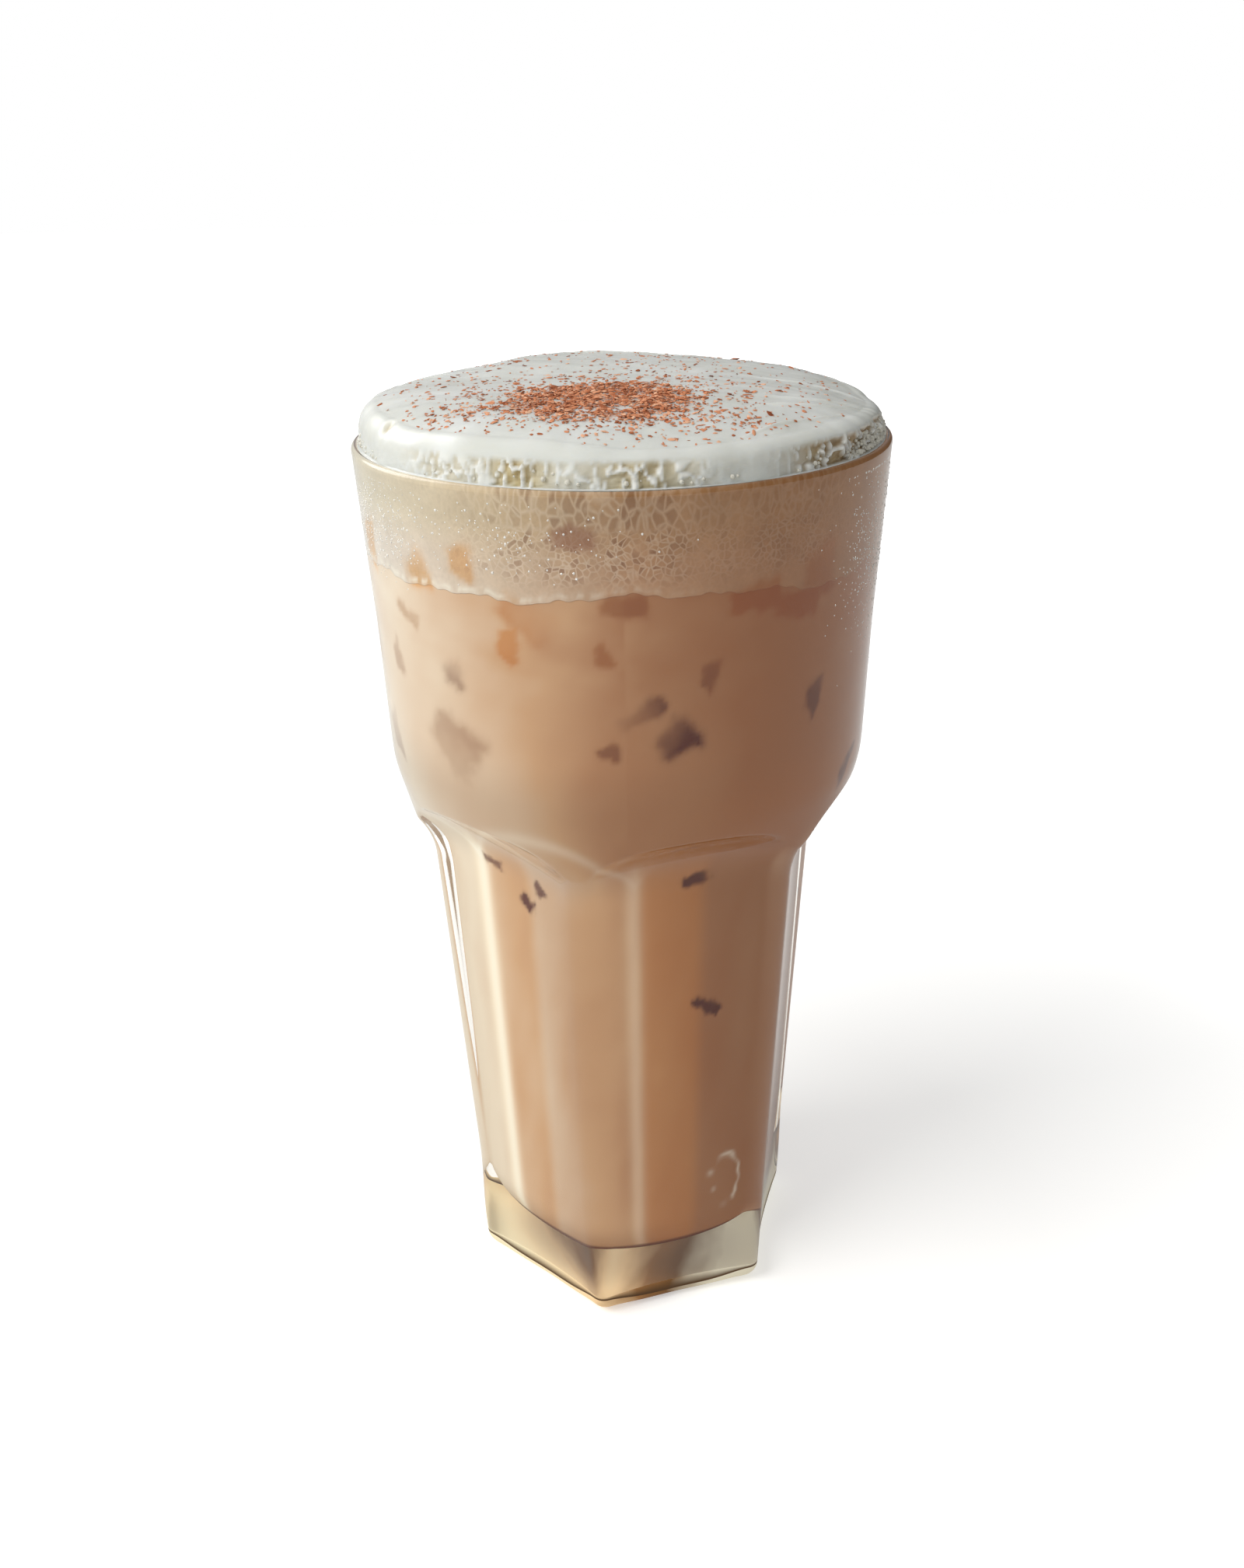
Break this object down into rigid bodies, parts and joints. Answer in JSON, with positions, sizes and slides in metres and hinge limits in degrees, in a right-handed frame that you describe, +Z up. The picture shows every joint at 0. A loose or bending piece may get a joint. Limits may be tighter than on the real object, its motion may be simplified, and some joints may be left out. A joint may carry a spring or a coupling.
{
  "type": "iced black tea macchiato in a glass",
  "caption": "Tall pressed glass tumbler with a round bowl over a six-sided panelled foot, filled with iced milk tea, a layer of milk froth and a domed cream cap dusted with cocoa.",
  "frame": {"origin": "middle of the foot, in the plane the tumbler stands on", "axes": "+Z up along the tumbler's axis; -Y towards the side with the two widest visible panels"},
  "size_m": [0.0888, 0.0888, 0.1704],
  "materials": {
    "clear_glass": "clear pressed soda-lime glass, fire-polished, smooth",
    "milk_tea": "opaque black tea with milk, wet against the glass",
    "milk_froth": "beige milk froth of fine and coarse bubbles",
    "whipped_cream": "softly whipped cream with a satin gloss, dusted with red-brown cocoa"
  },
  "bodies": {
    "root": {"glass_tumbler": "clear_glass", "milk_tea": "milk_tea", "milk_froth": "milk_froth", "cream_cap": "whipped_cream"}
  },
  "joints": []
}
